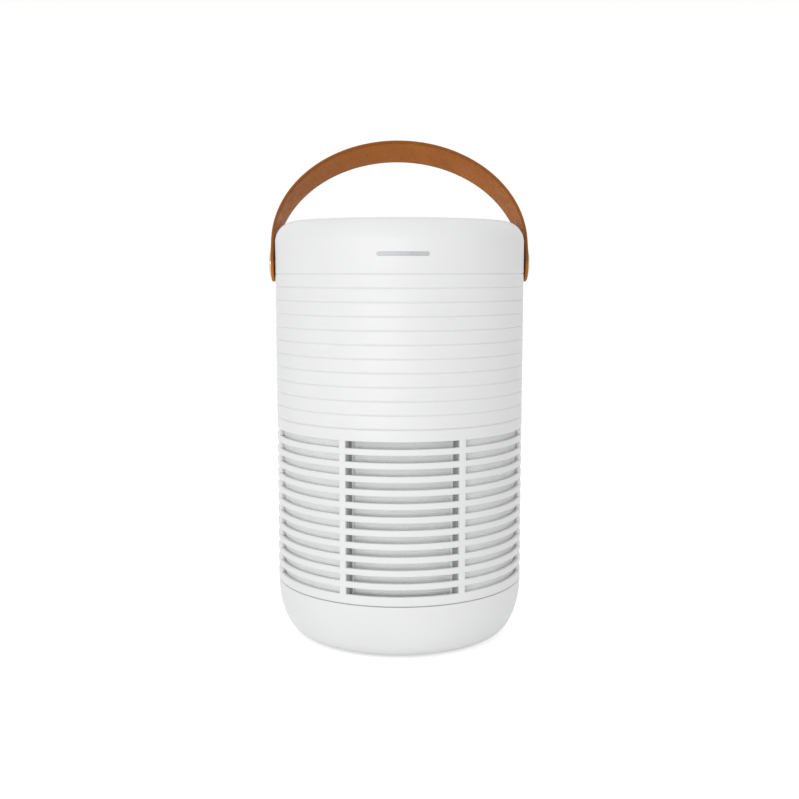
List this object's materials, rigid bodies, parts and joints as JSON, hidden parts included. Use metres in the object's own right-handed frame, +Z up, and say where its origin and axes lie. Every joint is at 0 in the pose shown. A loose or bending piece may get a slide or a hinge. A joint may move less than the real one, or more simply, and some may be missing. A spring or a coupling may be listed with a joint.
{
  "type": "air purifier",
  "caption": "Portable cylindrical air purifier: slotted intake grille round a filter, ribbed fan housing, top outlet with controls, swinging leather strap handle and twist-off base.",
  "frame": {"origin": "centre of the footprint, on the surface that the foot ring stands on", "axes": "+Z up along the body axis, front (indicator) towards -Y, +X to the right seen from the front; handle pivots on the X direction"},
  "size_m": [0.221, 0.2106, 0.4222],
  "materials": {
    "white_shell": "satin white moulded plastic",
    "dark_plastic": "dark grey moulded plastic",
    "filter_felt": "light grey needled felt",
    "filter_paper": "pleated white media",
    "filter_cap_plastic": "pale grey moulded plastic",
    "carbon": "black activated carbon felt",
    "foam_gasket": "dark foam",
    "foot_rubber": "soft grey rubber",
    "pull_tape": "woven tape",
    "strap_leather": "tan leather with burnished edges",
    "cap_metal": "champagne anodised",
    "steel": "ground steel",
    "motor_metal": "die cast",
    "bush_plastic": "acetal",
    "board": "green solder mask",
    "component_black": "black epoxy",
    "panel_gloss": "gloss white",
    "light_guide": "translucent diffuser",
    "indicator": "grey translucent lens",
    "button_white": "satin white"
  },
  "bodies": {
    "housing": {"bayonet_ring": "white_shell", "intake_grille": "white_shell", "filter_cage": "dark_plastic", "prefilter_sleeve": "filter_felt", "filter_media": "filter_paper", "carbon_core": "carbon", "filter_bottom_cap": "filter_cap_plastic", "filter_top_cap": "filter_cap_plastic", "filter_gasket": "foam_gasket", "filter_pull_tab": "pull_tape", "fan_deck": "white_shell", "inlet_bellmouth": "dark_plastic", "motor_housing": "motor_metal", "motor_bearings": "steel", "motor_mount": "dark_plastic", "motor_screws": "steel", "inner_duct": "dark_plastic", "ribbed_shell": "white_shell", "top_collar": "white_shell", "indicator_lens": "indicator", "outlet_grille": "white_shell", "control_tub": "dark_plastic", "main_board": "board", "board_components": "component_black", "control_board": "board", "tact_switches": "component_black", "control_panel": "panel_gloss", "status_light_ring": "light_guide", "pivot_bushings": "bush_plastic", "jack_bezel": "white_shell", "dc_jack": "dark_plastic", "jack_pin": "steel", "sensor_cover": "white_shell", "air_sensor": "dark_plastic"},
    "base": {"base_cover": "white_shell", "foot_ring": "foot_rubber"},
    "handle": {"handle_strap": "strap_leather", "handle_pins": "steel", "handle_caps": "cap_metal", "pin_clips": "steel"},
    "fan": {"impeller": "dark_plastic", "motor_shaft": "steel"},
    "power_button": {"power_button": "button_white"},
    "speed_button": {"speed_button": "button_white"},
    "night_button": {"night_button": "button_white"}
  },
  "joints": [
    {"name": "handle_swing", "type": "hinge", "parent": "housing", "child": "handle", "pos_m": [0, 0, 0.316], "axis": [1, 0, 0], "range_deg": [-62.5, 117.5]},
    {"name": "base_twist", "type": "hinge", "parent": "housing", "child": "base", "pos_m": [0, 0, 0.02], "axis": [0, 0, 1], "range_deg": [0, 28]},
    {"name": "fan_spin", "type": "hinge", "parent": "housing", "child": "fan", "pos_m": [0, 0, 0.21], "axis": [0, 0, 1], "continuous": true},
    {"name": "power_press", "type": "slide", "parent": "housing", "child": "power_button", "axis": [0, 0, -1], "range_m": [0, 0.001], "stiffness_N_per_m": 300, "springref_m": -0.001},
    {"name": "speed_press", "type": "slide", "parent": "housing", "child": "speed_button", "axis": [0, 0, -1], "range_m": [0, 0.001], "stiffness_N_per_m": 300, "springref_m": -0.001},
    {"name": "night_press", "type": "slide", "parent": "housing", "child": "night_button", "axis": [0, 0, -1], "range_m": [0, 0.001], "stiffness_N_per_m": 300, "springref_m": -0.001}
  ]
}
